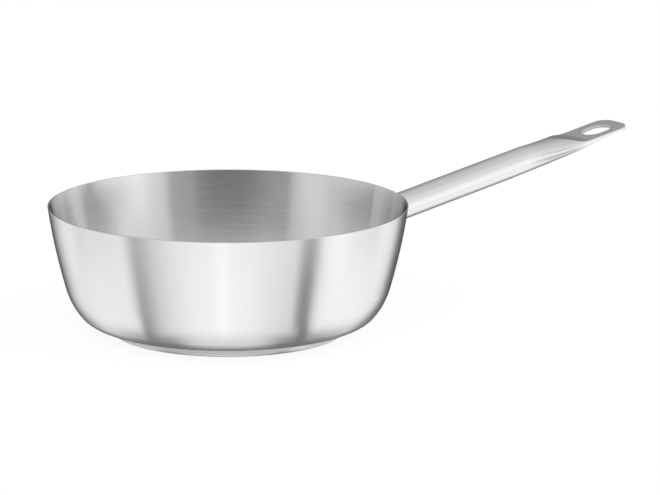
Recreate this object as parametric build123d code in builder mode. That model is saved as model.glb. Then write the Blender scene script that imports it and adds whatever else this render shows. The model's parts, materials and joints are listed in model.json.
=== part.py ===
from build123d import *
from math import asin, cos, degrees, pi, radians, sin, tan
import os

# A flared one-handled pan. Millimetres and degrees. The origin is the centre of the base's flat
# underside, +Z is up and the handle lies along +X.

# Shell, drawn from one steel sheet
rim_radius = 120.0
shell_height = 78.5
shell_wall = 1.0
rim_lean = 8.0  # lean of the wall from upright at the rim
wall_lean = 15.7  # lean at the foot of the wall
shoulder_lean = 39.0  # lean where the shoulder gives way to the corner
shoulder_radius = 48.0
corner_radius = 17.0
rim_edge_radius = 0.35

# Sandwich base
base_radius = 79.0
core_thickness = 6.0
cap_sheet = 0.8
cap_foot_radius = 2.2  # outside radius where the cap's floor turns up
cap_lip_radius = 1.4  # outside radius where the cap's wall turns in over the core

# Handle tube
tube_radius = 9.5
tube_wall = 1.2
handle_drop = 22.1  # the tube's centre line below the rim, where it meets the wall
handle_rise = 11.65  # degrees above level
handle_length = 218.5  # from the wall to the tip, along the tube
section_pitch = 7.0  # spacing of the tube's sections along its pressed end
section_points = 40

# Pressed flat end of the handle, its places measured back from the tip
tab_width = 32.0
tab_rise = 1.8  # top of the flat above the tube's centre line
tab_squareness = 4.1
tab_corner_radius = 11.0
tab_trim = 0.4  # how far outside the tab's sides its trimmed corners start
press_reach = 134.5  # the pressed end starts here, or at the first of the starts below
widen_start_reach = 94.5
widen_end_reach = 38.0
widen_hold = 1.25
flatten_start_reach = 128.5
flatten_end_reach = 16.5
flatten_hold = 2.05
top_sink = 3.0  # how far the round top sinks before the ramp cuts it
sink_start_reach = 88.5
sink_end_reach = 19.0
sink_hold = 0.65
ramp_start_reach = 93.5
ramp_end_reach = 37.5
ramp_lift = 0.6  # the ramp's line starts this far above the tube
ramp_bend_share = 0.865
ramp_foot_share = 0.725
ramp_foot_rise = 1.1  # the ramp is still this far above the flat where it bends towards its foot
cavity_end_reach = 34.5  # from here to the tip the tube's two walls are pressed together

# Hanging slot
slot_length = 22.5
slot_width = 17.0
slot_reach = 19.5  # the slot's centre, back from the tip
slot_edge_radius = 0.3

# Bracket inside the tube's root, spot welded to the shell
bracket_wall = 1.5
bracket_length = 18.0
bracket_clearance = 0.1
nugget_radius = 2.0
nugget_circle_radius = 4.3
nugget_count = 4
nugget_depth_share = 0.5  # how much of each sheet a nugget takes in

# Weld bead round the tube's root
bead_leg = 1.1
bead_land = 0.2  # width of the bead's upper edge on the tube

# One overrun serves every cut
overrun = 5.0

# Heights and the line of the wall
base_height = core_thickness + cap_sheet
rim_height = base_height + shell_height
sin_rim, sin_wall, sin_shoulder = (sin(radians(lean)) for lean in (rim_lean, wall_lean, shoulder_lean))
corner_drop = corner_radius * (1 - sin_shoulder)
shoulder_drop = shoulder_radius * (sin_shoulder - sin_wall)
wall_radius = (shell_height - corner_drop - shoulder_drop) / (sin_wall - sin_rim)

# Where the handle meets the wall
joint_lean = degrees(asin(sin_rim + handle_drop / wall_radius))
joint_radius = rim_radius - wall_radius * (cos(radians(rim_lean)) - cos(radians(joint_lean)))
joint_height = rim_height - handle_drop
joint = Vector(joint_radius, 0, joint_height)
along = Vector(cos(radians(handle_rise)), 0, sin(radians(handle_rise)))
upward = Vector(-sin(radians(handle_rise)), 0, cos(radians(handle_rise)))
outward = Vector(cos(radians(joint_lean)), 0, -sin(radians(joint_lean)))
across = Vector(0, 1, 0)

tube_plane = Plane(origin=joint, x_dir=across, z_dir=along)
side_plane = Plane(origin=joint, x_dir=along, z_dir=-across)
flat_plane = Plane(origin=joint, x_dir=along, z_dir=upward)
wall_plane = Plane(origin=joint, x_dir=across, z_dir=outward)

# Places along the handle, from the wall
widen_start, widen_end = handle_length - widen_start_reach, handle_length - widen_end_reach
flatten_start, flatten_end = handle_length - flatten_start_reach, handle_length - flatten_end_reach
sink_start, sink_end = handle_length - sink_start_reach, handle_length - sink_end_reach
round_length = min(handle_length - press_reach, widen_start, flatten_start, sink_start)
ramp_start, ramp_end = handle_length - ramp_start_reach, handle_length - ramp_end_reach
ramp_bend = ramp_start + (ramp_end - ramp_start) * ramp_bend_share
ramp_foot = ramp_start + (ramp_end - ramp_start) * ramp_foot_share
cavity_length = handle_length - cavity_end_reach
slot_centre = handle_length - slot_reach

# Levels of the flat end, above the tube's centre line
tab_thickness = 2 * tube_wall
tab_underside = tab_rise - tab_thickness
tab_middle = tab_rise - tube_wall


def shell_line(inset):
    """Draws the shell's line from the rim to the centre, inset from its outer face."""
    lean = radians(rim_lean)
    start = (rim_radius - inset * cos(lean), rim_height + inset * sin(lean))
    wall = JernArc(start, (-sin(lean), -cos(lean)), wall_radius - inset, rim_lean - wall_lean)
    shoulder = JernArc(wall @ 1, wall % 1, shoulder_radius - inset, wall_lean - shoulder_lean)
    corner = JernArc(shoulder @ 1, shoulder % 1, corner_radius - inset, shoulder_lean - 90)
    Line(corner @ 1, (0, base_height + inset))
    return start


def ease(place, start, end, hold):
    """Share of a change made at a place between start and end, held back by the power hold."""
    share = min(max((place - start) / (end - start), 0), 1) ** hold
    return share * share * (3 - 2 * share)


def tube_section(place, inset):
    """Points of the tube's section at a distance along it: a circle that widens, sinks and flattens."""
    widened = ease(place, widen_start, widen_end, widen_hold)
    flattened = ease(place, flatten_start, flatten_end, flatten_hold)
    half_width = tube_radius + (tab_width / 2 - tube_radius) * widened - inset
    top = tube_radius - inset - top_sink * ease(place, sink_start, sink_end, sink_hold)
    middle = tab_middle * flattened
    underside = -tube_radius + (tube_radius + tab_underside) * flattened
    squareness = 2 + (tab_squareness - 2) * flattened
    points = []
    for index in range(section_points):
        angle = 2 * pi * index / section_points
        power = 1 if sin(angle) >= 0 else 2 / squareness
        reach = top - middle if sin(angle) >= 0 else middle - underside - inset
        side = abs(cos(angle)) ** power * (1 if cos(angle) >= 0 else -1)
        rise = abs(sin(angle)) ** power * (1 if sin(angle) >= 0 else -1)
        points.append((half_width * side, middle + reach * rise))
    return points


def pressed_tube(inset, end):
    """The tube's space, round then pressed flat, inset from its outer face, up to a distance along it."""
    level = tab_rise - inset
    top = tube_radius - inset
    steps = round((end - round_length) / section_pitch)
    with BuildPart() as tube:
        with BuildSketch(tube_plane.offset(-tube_radius)):
            with BuildLine():
                Spline(*tube_section(0, inset), periodic=True)
            make_face()
        extrude(amount=round_length + tube_radius)
        for step in range(steps + 1):
            place = round_length + (end - round_length) * step / steps
            with BuildSketch(tube_plane.offset(place)):
                with BuildLine():
                    Spline(*tube_section(place, inset), periodic=True)
                make_face()
        loft()
        # the press leaves a ramp from the round top down to the flat
        with BuildSketch(side_plane):
            with BuildLine():
                ramp = Bezier(
                    (ramp_start, top + ramp_lift),
                    (ramp_bend, top),
                    (ramp_foot, level + ramp_foot_rise),
                    (ramp_end, level),
                )
                Polyline(
                    ramp @ 1,
                    (handle_length + 2 * overrun, level),
                    (handle_length + 2 * overrun, top + overrun),
                    (ramp_start, top + overrun),
                    ramp @ 0,
                )
            make_face()
        extrude(amount=tab_width, both=True, mode=Mode.SUBTRACT)
    return tube.part


# Space inside the shell's outer face, for what is fitted against the wall
with BuildPart() as shell_space:
    with BuildSketch(Plane.XZ):
        with BuildLine():
            corner = shell_line(0)
            Polyline((0, base_height), (0, rim_height), corner)
        make_face()
    revolve(axis=Axis.Z)

# Spot-weld nuggets, in a ring about the tube's centre line
nugget_depth = shell_wall * nugget_depth_share
nugget_height = bracket_wall * nugget_depth_share
with BuildPart() as bracket_spot_welds:
    with BuildSketch(wall_plane.offset(-nugget_depth)):
        with PolarLocations(nugget_circle_radius, nugget_count, start_angle=180 / nugget_count):
            Circle(nugget_radius)
    extrude(amount=nugget_depth + nugget_height)

# Shell
with BuildPart() as pan_body:
    with BuildSketch(Plane.XZ):
        with BuildLine():
            outer_corner = shell_line(0)
            inner_corner = shell_line(shell_wall)
            Line(outer_corner, inner_corner)
            Line((0, base_height), (0, base_height + shell_wall))
        make_face()
    revolve(axis=Axis.Z)
    rim_edges = pan_body.edges().filter_by(GeomType.CIRCLE).sort_by(Axis.Z)[-2:]
    fillet(rim_edges, radius=rim_edge_radius)
    add(bracket_spot_welds.part, mode=Mode.SUBTRACT)

# Aluminium core of the base, with a step under the cap's lip
core_radius = base_radius - cap_sheet
with BuildPart() as base_core:
    with BuildSketch(Plane.XZ):
        with BuildLine():
            floor = Line((0, cap_sheet), (base_radius - cap_foot_radius, cap_sheet))
            foot = JernArc(floor @ 1, floor % 1, cap_foot_radius - cap_sheet, 90)
            side = Line(foot @ 1, (core_radius, base_height - cap_lip_radius))
            lip = JernArc(side @ 1, side % 1, cap_lip_radius - cap_sheet, 90)
            Polyline(lip @ 1, (base_radius - cap_lip_radius, base_height), (0, base_height), floor @ 0)
        make_face()
    revolve(axis=Axis.Z)

# Steel cap, pressed round the core and turned in over its edge
with BuildPart() as base_cap:
    with BuildSketch(Plane.XZ):
        with BuildLine():
            floor = Line((0, 0), (base_radius - cap_foot_radius, 0))
            foot = JernArc(floor @ 1, floor % 1, cap_foot_radius, 90)
            side = Line(foot @ 1, (base_radius, base_height - cap_lip_radius))
            lip = JernArc(side @ 1, side % 1, cap_lip_radius, 90)
            Polyline(lip @ 1, (0, base_height), floor @ 0)
        make_face()
    revolve(axis=Axis.Z)
    add(base_core.part, mode=Mode.SUBTRACT)

# Handle tube, coped to the wall, pressed flat and slotted at its end
with BuildPart() as handle_tube:
    add(pressed_tube(0, handle_length + overrun))
    with BuildSketch(flat_plane):
        with Locations((handle_length, 0)):
            Rectangle(2 * tab_corner_radius, 2 * tab_width)
        with Locations((handle_length / 2, 0)):
            RectangleRounded(handle_length, tab_width + 2 * tab_trim, tab_corner_radius, mode=Mode.SUBTRACT)
    extrude(amount=2 * tube_radius, both=True, mode=Mode.SUBTRACT)
    with BuildSketch(flat_plane):
        with Locations((slot_centre, 0)):
            SlotOverall(slot_length, slot_width)
    extrude(amount=tube_radius, both=True, mode=Mode.SUBTRACT)
    flat_top = handle_tube.faces().filter_by(flat_plane).sort_by(SortBy.AREA)[-1]
    fillet(flat_top.inner_wires()[0].edges(), radius=slot_edge_radius)
    add(pressed_tube(tube_wall, cavity_length), mode=Mode.SUBTRACT)
    add(shell_space.part, mode=Mode.SUBTRACT)

# Space inside the bracket, ending one sheet short of the wall
bracket_radius = tube_radius - tube_wall - bracket_clearance
with BuildPart() as bracket_hollow:
    with BuildSketch(tube_plane.offset(-tube_radius)):
        Circle(bracket_radius - bracket_wall)
    extrude(amount=tube_radius + bracket_length + overrun)
    with BuildSketch(Plane.XZ):
        with BuildLine():
            corner = shell_line(-bracket_wall)
            Polyline((0, base_height - bracket_wall), (0, rim_height), corner)
        make_face()
    revolve(axis=Axis.Z, mode=Mode.SUBTRACT)

# Bracket: a cup inside the tube's root, its floor lying on the wall
with BuildPart() as handle_bracket:
    with BuildSketch(tube_plane.offset(-tube_radius)):
        Circle(bracket_radius)
    extrude(amount=tube_radius + bracket_length)
    add(bracket_hollow.part, mode=Mode.SUBTRACT)
    add(shell_space.part, mode=Mode.SUBTRACT)
    add(bracket_spot_welds.part, mode=Mode.SUBTRACT)

# Weld bead: a sloping ring on the wall round the tube's root
tilt = radians(handle_rise + joint_lean)
with BuildPart() as handle_weld_bead:
    for offset, reach in ((-bead_leg, 2 * bead_leg), (bead_leg, bead_land)):
        with BuildSketch(wall_plane.offset(offset)):
            with Locations((0, offset * tan(tilt))):
                Ellipse(tube_radius + reach, tube_radius / cos(tilt) + reach)
    loft(ruled=True)
    with BuildSketch(tube_plane.offset(-tube_radius)):
        Circle(tube_radius)
    extrude(amount=3 * tube_radius, mode=Mode.SUBTRACT)
    add(shell_space.part, mode=Mode.SUBTRACT)

os.makedirs("parts", exist_ok=True)
pieces = {
    "pan_body": pan_body,
    "base_core": base_core,
    "base_cap": base_cap,
    "handle_tube": handle_tube,
    "handle_bracket": handle_bracket,
    "bracket_spot_welds": bracket_spot_welds,
    "handle_weld_bead": handle_weld_bead,
}
for name, piece in pieces.items():
    piece.part.label = name
    export_step(piece.part, f"parts/{name}.step")
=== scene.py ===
import bpy
import json
from math import cos, pi, radians, sin
from mathutils import Matrix, Vector


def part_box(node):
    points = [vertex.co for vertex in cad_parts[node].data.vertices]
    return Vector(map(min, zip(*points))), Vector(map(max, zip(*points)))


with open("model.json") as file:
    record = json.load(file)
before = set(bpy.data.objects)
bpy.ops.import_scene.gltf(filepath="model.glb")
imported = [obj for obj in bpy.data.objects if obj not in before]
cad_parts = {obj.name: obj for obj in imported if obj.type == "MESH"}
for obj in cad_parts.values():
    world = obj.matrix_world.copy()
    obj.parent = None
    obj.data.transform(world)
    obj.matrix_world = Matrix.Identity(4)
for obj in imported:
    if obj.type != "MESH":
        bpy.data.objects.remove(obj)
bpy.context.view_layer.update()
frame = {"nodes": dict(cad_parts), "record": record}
nodes = frame["nodes"]
mounts = {mount["name"]: mount for mount in frame["record"]["mounts"]}
print("frame loaded:", ", ".join(sorted(nodes)))


def grey(shade):
    return (shade, shade, shade, 1)


# Shader maths in plain expressions: a Wire wraps a node's output socket
class Wire:
    def __init__(self, graph, socket):
        self.graph, self.socket = graph, socket

    def maths(self, operation, *others):
        values = dict(enumerate((self,) + others))
        return self.graph.add("ShaderNodeMath", {"operation": operation}, values)

    def __add__(self, other):
        return self.maths("ADD", other)

    def __sub__(self, other):
        return self.maths("SUBTRACT", other)

    def __mul__(self, other):
        return self.maths("MULTIPLY", other)

    def __truediv__(self, other):
        return self.maths("DIVIDE", other)

    def __rsub__(self, other):
        return self.graph.add("ShaderNodeMath", {"operation": "SUBTRACT"}, {0: other, 1: self})

    __radd__, __rmul__ = __add__, __mul__

    def out(self, name):
        return Wire(self.graph, self.socket.node.outputs[name])


# One node tree, with the one way in which nodes are added to it
class Graph:
    def __init__(self, tree):
        self.tree = tree
        tree.nodes.clear()

    def add(self, kind, settings=None, sockets=None):
        node = self.tree.nodes.new(kind)
        for name, value in (settings or {}).items():
            if name == "stops":
                self.setStops(node.color_ramp, value)
            else:
                setattr(node, name, value)
        for name, value in (sockets or {}).items():
            if isinstance(value, Wire):
                self.tree.links.new(value.socket, node.inputs[name])
            else:
                node.inputs[name].default_value = value
        return Wire(self, node.outputs[0]) if node.outputs else None

    # a colour ramp starts with two stops, of which one is kept
    def setStops(self, ramp, stops):
        for spare in list(ramp.elements)[1:]:
            ramp.elements.remove(spare)
        ramp.elements[0].position = stops[0][0]
        for place, _ in stops[1:]:
            ramp.elements.new(place)
        for element, (_, shade) in zip(ramp.elements, stops):
            element.color = grey(shade)

    # smooth share of the way from low to high, also where high is the smaller
    def step(self, value, low, high):
        return self.add(
            "ShaderNodeMapRange",
            {"interpolation_type": "SMOOTHSTEP"},
            {"Value": value, "From Min": low, "From Max": high, "To Min": 0.0, "To Max": 1.0},
        )

    # a Mix node has its share at socket 0, two numbers at 2 and 3 and two colours at 6 and 7
    def blend(self, share, first, second):
        return self.add("ShaderNodeMix", {"data_type": "FLOAT"}, {0: share, 2: first, 3: second})

    def tint(self, colour, shade):
        settings = {"data_type": "RGBA", "blend_type": "MULTIPLY"}
        return self.add("ShaderNodeMix", settings, {0: 1.0, 6: colour, 7: shade}).out(2)

    # noise that swings about nought
    def noise(self, vector, scale, detail=2.0):
        sockets = {"Vector": vector, "Scale": scale, "Detail": detail}
        return self.add("ShaderNodeTexNoise", {}, sockets) - 0.5

    def vector(self, x, y, z):
        return self.add("ShaderNodeCombineXYZ", {}, {"X": x, "Y": y, "Z": z})

    def parts(self, vector):
        split = self.add("ShaderNodeSeparateXYZ", {}, {"Vector": vector})
        return split.out("X"), split.out("Y"), split.out("Z")


# The camera stands where the photograph was taken from. Angles are in degrees and lengths in
# metres, but the sensor is in millimetres.
photoCamera = {
    "imageSize": (660, 495),
    "focalPixels": 3306,
    "sensorWidth": 36,
    "distance": 2.2,
    "azimuth": -34,
    "elevation": 12.44,
    "roll": 0.29,
    "rimCentrePixel": (228.05, 204.4),
    "nearest": 0.05,
    "farthest": 50,
}


def addCamera(settings, rimCentre):
    angles = ("azimuth", "elevation", "roll")
    azimuth, elevation, roll = (radians(settings[name]) for name in angles)
    right = Vector((cos(azimuth), sin(azimuth), 0))
    forward = Vector(
        (-sin(azimuth) * cos(elevation), cos(azimuth) * cos(elevation), -sin(elevation))
    )
    up = right.cross(forward)
    width, height = settings["imageSize"]
    metresPerPixel = settings["distance"] / settings["focalPixels"]
    column, row = settings["rimCentrePixel"]
    sideways = (column - width / 2) * metresPerPixel
    upwards = (height / 2 - row) * metresPerPixel
    place = rimCentre - right * sideways - up * upwards - forward * settings["distance"]
    turnedRight = right * cos(roll) + up * sin(roll)
    turnedUp = up * cos(roll) - right * sin(roll)
    camera = bpy.data.objects.new("camera", bpy.data.cameras.new("camera"))
    bpy.context.scene.collection.objects.link(camera)
    turned = Matrix((turnedRight, turnedUp, -forward)).transposed().to_4x4()
    camera.matrix_world = Matrix.Translation(place) @ turned
    camera.data.sensor_width = settings["sensorWidth"]
    camera.data.lens = settings["sensorWidth"] * settings["focalPixels"] / width
    camera.data.clip_start = settings["nearest"]
    camera.data.clip_end = settings["farthest"]
    bpy.context.scene.camera = camera
    print("camera placed at", [round(x, 3) for x in place])


# Soft studio surroundings as the steel sees them: pairs of an angle round the pan and a
# brightness. The angle is 0 towards the camera and grows to the camera's right.
surroundings = {
    "floorBands": (
        (-180, 0.05), (-165, 0.08), (-156, 0.2), (-148, 0.55), (-134, 0.9), (-119, 0.99), (-106, 1.03),
        (-86, 1.0), (-77, 1.0), (-72, 0.88), (-67, 0.33), (-60, 0.4), (-52, 0.66), (-38, 0.9),
        (-24, 1.03), (-10, 1.08), (-3, 1.2), (4, 1.1), (18, 1.03), (32, 0.91), (43, 0.82), (50, 0.78),
        (54, 0.3), (58, 0.15), (63, 0.2), (69, 0.82), (76, 1.02), (98, 1.11), (122, 1.06), (140, 0.9),
        (152, 0.2), (180, 0.05),
    ),
    "horizonBands": (
        (-180, 0.08), (-158, 0.1), (-148, 0.5), (-134, 0.9), (-122, 0.92), (-110, 0.5), (-84, 0.5),
        (-60, 0.9), (0, 1.03), (56, 1.18), (80, 1.2), (90, 0.55), (112, 0.55), (122, 0.98),
        (140, 0.88), (150, 0.28), (158, 0.1), (180, 0.08),
    ),
    "roomBands": (
        (-180, 0.17), (-158, 0.17), (-148, 0.6), (-134, 0.88), (-119, 0.95), (-90, 0.9), (-62, 0.72),
        (-50, 0.7), (-44, 0.55), (-38, 0.25), (-29, 0.23), (-17, 0.18), (0, 0.15), (15, 0.16),
        (21, 0.18), (26, 0.27), (40, 0.35), (46, 0.71), (49, 0.76), (56, 0.9), (62, 1.08), (90, 1.12),
        (110, 1.08), (130, 1.05), (140, 0.88), (150, 0.4), (158, 0.17), (180, 0.17),
    ),
    "middleBands": (
        (-180, 0.37), (-150, 0.37), (-110, 0.42), (-86, 0.4), (-60, 0.32), (-50, 0.5), (-36, 0.88),
        (-22, 0.94), (-9, 0.76), (4, 0.72), (20, 0.82), (33, 0.74), (48, 0.75), (61, 0.88), (68, 0.8),
        (80, 0.48), (101, 0.46), (140, 0.4), (170, 0.37), (180, 0.37),
    ),
    "highBands": (
        (-180, 0.37), (-150, 0.38), (-110, 0.5), (-70, 0.7), (-40, 0.9), (0, 0.85), (40, 0.85),
        (66, 0.9), (101, 0.74), (140, 0.45), (170, 0.37), (180, 0.37),
    ),
    "ceiling": 0.64,
    "underFloor": 0.75,
    "behind": 0.18,  # low down, on the far side of the pan
    # heights of the sight line, as a share of its length, between which one gives way to the next
    "underStarts": (-0.93, -0.98),
    "horizonStarts": (-0.4, -0.3),
    "roomStarts": (-0.16, -0.04),
    "middleStarts": (0.29, 0.36),
    "highStarts": (0.46, 0.6),
    "ceilingStarts": (0.55, 1.0),
    # depths at which "behind" begins: how far the sight line points down, with this share of how
    # far it points away from the camera
    "behindDepths": (0.8, 0.96),
    "behindShare": 0.35,
    # below this height the bands open out, so that they run straight down the wall of the pan
    "openingHeight": -0.5,
    "openingDepth": 0.38,
    "openingShare": 0.45,
    "openingPower": 2.6,
    "background": 1.0,
}


def addSurroundings(settings, cameraAzimuth):
    world = bpy.data.worlds.new("studio")
    bpy.context.scene.world = world
    world.use_nodes = True
    graph = Graph(world.node_tree)
    east, north, rise = graph.parts(graph.add("ShaderNodeTexCoord"))
    azimuth = radians(cameraAzimuth)
    toRight = east * cos(azimuth) + north * sin(azimuth)
    toCamera = east * sin(azimuth) - north * cos(azimuth)
    turn = toRight.maths("ARCTAN2", toCamera) / (2 * pi)  # from -0.5 to 0.5
    dip = ((settings["openingHeight"] - rise) / settings["openingDepth"]).maths("MAXIMUM", 0)
    opening = dip.maths("MINIMUM", 1).maths("POWER", settings["openingPower"])
    opening = opening * settings["openingShare"]

    # a ramp runs from 0 to 1, which is -180 to 180 degrees
    def bands(name, place):
        stops = [((angle + 180) / 360, shade) for angle, shade in settings[name]]
        return graph.add("ShaderNodeValToRGB", {"stops": stops}, {"Fac": place + 0.5})

    depth = (toCamera * settings["behindShare"] + rise) * -1
    hidden = graph.step(depth, *settings["behindDepths"])
    level = graph.blend(hidden, bands("floorBands", turn * (1 - opening)), settings["behind"])
    under = graph.step(rise, *settings["underStarts"])
    level = graph.blend(under, level, settings["underFloor"])
    for name in ("horizon", "room", "middle", "high"):
        reached = graph.step(rise, *settings[name + "Starts"])
        level = graph.blend(reached, level, bands(name + "Bands", turn))
    overhead = graph.step(rise, *settings["ceilingStarts"])
    level = graph.blend(overhead, level, settings["ceiling"])
    seen = graph.add("ShaderNodeLightPath").out("Is Camera Ray")
    strength = graph.blend(seen, level, settings["background"])
    shine = graph.add("ShaderNodeBackground", {}, {"Color": grey(1), "Strength": strength})
    graph.add("ShaderNodeOutputWorld", {}, {"Surface": shine})
    print("surroundings lit")


stage = {"floorSize": 8, "floorShade": 0.3, "floorGlow": 0.825, "floorDrop": 0.0001}


def addFloor(settings):
    bpy.ops.mesh.primitive_plane_add(size=settings["floorSize"], location=(0, 0, -settings["floorDrop"]))
    floor = bpy.context.object
    floor.name = "floor"
    floor.visible_glossy = False  # the surroundings hold the floor that the steel reflects
    floor.visible_shadow = False
    paper = bpy.data.materials.new("pale floor")
    paper.use_nodes = True
    graph = Graph(paper.node_tree)
    matt = graph.add("ShaderNodeBsdfDiffuse", {}, {"Color": grey(settings["floorShade"])})
    glow = graph.add("ShaderNodeEmission", {}, {"Strength": settings["floorGlow"]})
    lit = graph.add("ShaderNodeAddShader", {}, {0: matt, 1: glow})
    below = graph.add("ShaderNodeNewGeometry").out("Backfacing")
    clear = graph.add("ShaderNodeBsdfTransparent")
    face = graph.add("ShaderNodeMixShader", {}, {0: below, 1: lit, 2: clear})
    graph.add("ShaderNodeOutputMaterial", {}, {"Surface": face})
    floor.data.materials.append(paper)
    print("floor laid")


# What the metals share
brushwork = {
    "grainShare": 0.4,  # of the grain in shade and polish, beside the streaks
    "detail": 3.0,
    "shineTurn": 0.25,  # the shine spreads across the lines
    "leastRadius": 0.0005,  # keeps the distance from the axis clear of nought
}


# A metal whose lines are drawn out by brushing, turning or rolling. The streaks are broad, the
# grain is fine and gives the bump, and cloud is a slow change of shade and polish. A piece may
# have another side, with a finish of its own.
def metal(name, settings, lines, side=None):
    material = bpy.data.materials.new(name)
    material.use_nodes = True
    graph = Graph(material.node_tree)
    coordinates = graph.add("ShaderNodeTexCoord")
    place = graph.parts(coordinates.out("Object"))
    facing = graph.parts(coordinates.out("Normal"))
    streak = lines(graph, place, settings["streakPitch"], settings["streakLength"])
    grain = lines(graph, place, settings["grainPitch"], settings["grainLength"])
    cloud = graph.noise(coordinates.out("Object"), 1 / settings["cloudSize"])
    strength, polish, shade = 1.0, settings["roughness"], 1.0
    if side:
        other = side(graph, place, facing)
        strength = graph.blend(other, 1.0, settings["otherStrength"])
        polish = graph.blend(other, settings["roughness"], settings["otherRoughness"])
        # darkening of the other side; on the handle's slot wall this is painted shade
        shade = graph.blend(other, 1.0, settings["otherPaintedShade"])
    marks = (streak + grain * brushwork["grainShare"]) * strength
    shade = shade + marks * settings["lineShade"] + cloud * settings["cloudShade"]
    tint = graph.tint(settings["colour"], shade)
    roughness = polish + marks * settings["lineRoughness"] + cloud * settings["cloudRoughness"]
    bump = graph.add("ShaderNodeBump", {}, {
        "Strength": settings["bump"],
        "Distance": settings["grainDepth"],
        "Height": grain * strength,
    })
    shine = graph.add("ShaderNodeBsdfPrincipled", {}, {
        "Base Color": tint,
        "Metallic": 1.0,
        "Roughness": roughness,
        "Anisotropic": settings["anisotropy"],
        "Anisotropic Rotation": brushwork["shineTurn"],
        "Normal": bump,
    })
    graph.add("ShaderNodeOutputMaterial", {}, {"Surface": shine})
    return material


def axisDistance(x, y):
    return (x * x + y * y).maths("SQRT").maths("MAXIMUM", brushwork["leastRadius"])


# Lines round the pan's axis, up its wall and across its floor. They are read from noise on a
# circle, and their length is given as its radius: the larger it is, the shorter they are.
def linesRound(graph, place, pitch, circle):
    x, y, z = place
    radius = axisDistance(x, y)
    drawn = graph.vector(x / radius * circle, y / radius * circle, (radius + z) / pitch)
    return graph.noise(drawn, 1.0, brushwork["detail"])


# Share of the pan's outer side: its wall faces away from the axis, and its underside faces down
def outerSide(graph, place, facing):
    x, y, z = place
    nx, ny, nz = facing
    outwards = (nx * x + ny * y) / axisDistance(x, y)
    return graph.step(outwards - nz, *shellSteel["sideBlend"])


# Lines along the handle, which rises from the pan
def linesAlong(graph, place, pitch, length):
    x, y, z = place
    rise = radians(handleSteel["rise"])
    along = x * cos(rise) + z * sin(rise)
    up = z * cos(rise) - x * sin(rise)
    drawn = graph.vector(along / length, y / pitch, up / pitch)
    return graph.noise(drawn, 1.0, brushwork["detail"])


# Share of the slot's cut wall, which faces neither up nor down and isn't polished; the handle also
# darkens it with painted shade for the shadow inside the slot
def slotWall(graph, place, facing):
    x, y, z = place
    nx, ny, nz = facing
    centreX, _, centreZ = mounts["hanging_slot"]["pos_m"]
    rise = radians(handleSteel["rise"])
    along = (x - centreX) * cos(rise) + (z - centreZ) * sin(rise)
    reach = (along * along + y * y).maths("SQRT")
    upright = 1 - (nz * cos(rise) - nx * sin(rise)).maths("ABSOLUTE")
    near = graph.step(reach, *handleSteel["slotReach"])
    return near * graph.step(upright, *handleSteel["slotUpright"])


# An even crust. It has no lines, so their length does nothing.
def crust(graph, place, pitch, length):
    return graph.noise(graph.vector(*place), 1 / pitch, brushwork["detail"])


# The other side is the outer one, whose lines are fainter
shellSteel = {
    "colour": grey(0.86),
    "roughness": 0.15,
    "otherRoughness": 0.22,
    "otherStrength": 0.7,
    "otherPaintedShade": 1.0,
    "sideBlend": (-0.2, 0.2),
    "anisotropy": 0.95,
    "streakPitch": 0.0012,
    "streakLength": 3.0,  # the larger, the shorter, as linesRound says
    "grainPitch": 0.0003,
    "grainLength": 14.0,
    "cloudSize": 0.05,
    "lineShade": 0.06,
    "cloudShade": 0.03,
    "lineRoughness": 0.05,
    "cloudRoughness": 0.02,
    "bump": 0.2,
    "grainDepth": 0.000012,
}

capSteel = {
    # painted shade: the colour is darker than the shell's to stand for the shadowed floor beside the
    # base, which the cap's side reflects
    "colour": grey(0.66),
    "roughness": 0.36,
    "anisotropy": 0.85,
    "streakPitch": 0.0016,
    "streakLength": 1.5,
    "grainPitch": 0.0004,
    "grainLength": 6.0,
    "cloudSize": 0.06,
    "lineShade": 0.12,
    "cloudShade": 0.03,
    "lineRoughness": 0.12,
    "cloudRoughness": 0.03,
    "bump": 0.5,
    "grainDepth": 0.00002,
}

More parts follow.
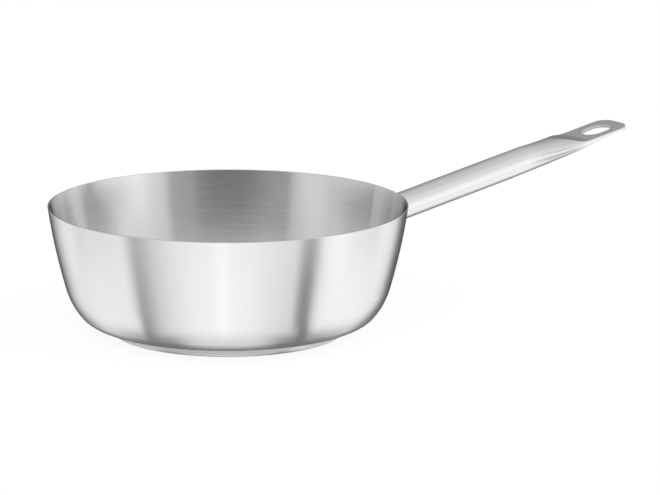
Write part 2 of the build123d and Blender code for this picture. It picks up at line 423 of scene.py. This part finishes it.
# The other side is the cut wall of the slot: rougher, and darker by painted shade for the shadow inside
# the slot
handleSteel = {
    "rise": 11.65,  # degrees
    "colour": grey(0.86),
    "roughness": 0.28,
    "otherRoughness": 0.5,
    "otherStrength": 1.0,
    # painted shade: darkens the slot's wall to stand for the shadow inside the slot
    "otherPaintedShade": 0.72,
    "slotReach": (0.0125, 0.012),  # from the slot's centre
    "slotUpright": (0.3, 0.8),
    "anisotropy": 0.0,
    "streakPitch": 0.0012,
    "streakLength": 0.06,
    "grainPitch": 0.0003,
    "grainLength": 0.012,
    "cloudSize": 0.02,
    "lineShade": 0.015,
    "cloudShade": 0.01,
    "lineRoughness": 0.025,
    "cloudRoughness": 0.015,
    "bump": 0.04,
    "grainDepth": 0.000008,
}

weldMetal = {
    "colour": (0.63, 0.62, 0.61, 1),
    "roughness": 0.34,
    "anisotropy": 0.0,
    "streakPitch": 0.0018,
    "streakLength": 1.0,
    "grainPitch": 0.0004,
    "grainLength": 1.0,
    "cloudSize": 0.004,
    "lineShade": 0.2,
    "cloudShade": 0.2,
    "lineRoughness": 0.15,
    "cloudRoughness": 0.1,
    "bump": 0.4,
    "grainDepth": 0.00005,
}

bracketSteel = dict(weldMetal, colour=grey(0.66), roughness=0.4, lineShade=0.08, cloudSize=0.012)
coreAluminium = dict(capSteel, colour=(0.80, 0.80, 0.81, 1), roughness=0.42, anisotropy=0.3)


def dress(node, material):
    for slot in nodes[node].material_slots:
        slot.material = material


addCamera(photoCamera, Vector((0, 0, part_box("pan_body")[1].z)))
addSurroundings(surroundings, photoCamera["azimuth"])
addFloor(stage)
dress("pan_body", metal("shell steel", shellSteel, linesRound, outerSide))
dress("base_cap", metal("cap steel", capSteel, linesRound))
dress("base_core", metal("core aluminium", coreAluminium, linesRound))
dress("handle_tube", metal("handle steel", handleSteel, linesAlong, slotWall))
dress("handle_bracket", metal("bracket steel", bracketSteel, crust))
weldCrust = metal("weld metal", weldMetal, crust)
dress("bracket_spot_welds", weldCrust)
dress("handle_weld_bead", weldCrust)
print("metals applied")

bpy.context.scene.view_settings.view_transform = "Standard"
